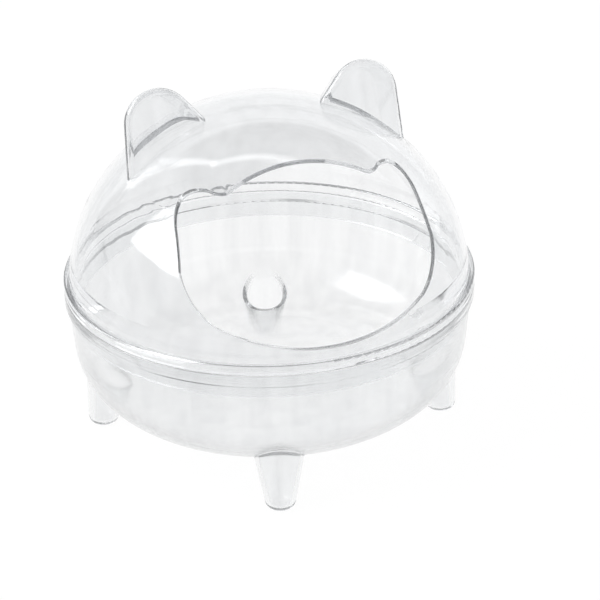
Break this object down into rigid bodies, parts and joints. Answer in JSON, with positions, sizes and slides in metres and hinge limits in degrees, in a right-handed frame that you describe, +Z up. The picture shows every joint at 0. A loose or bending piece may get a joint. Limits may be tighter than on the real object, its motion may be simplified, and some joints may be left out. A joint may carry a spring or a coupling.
{
  "type": "small pet bathing pot",
  "caption": "Clear moulded bathing pot for a small pet: a round bowl on tapered hollow feet with a lift-off domed lid that has ears and a bear-head door.",
  "frame": {"origin": "on the ground under the pot's axis, at the feet's tips", "axes": "+Z up along the pot's axis, -Y out of the lid's door, +X to the right seen from the door's side"},
  "size_m": [0.092, 0.092, 0.0836],
  "materials": {
    "bowl_plastic": "clear polished",
    "lid_plastic": "clear polished"
  },
  "bodies": {
    "bowl": {"footed_bowl": "bowl_plastic"},
    "lid": {"eared_lid": "lid_plastic"}
  },
  "joints": [
    {"name": "lid_lift", "type": "slide", "parent": "bowl", "child": "lid", "axis": [0, 0, 1], "range_m": [0, 0.06]}
  ]
}
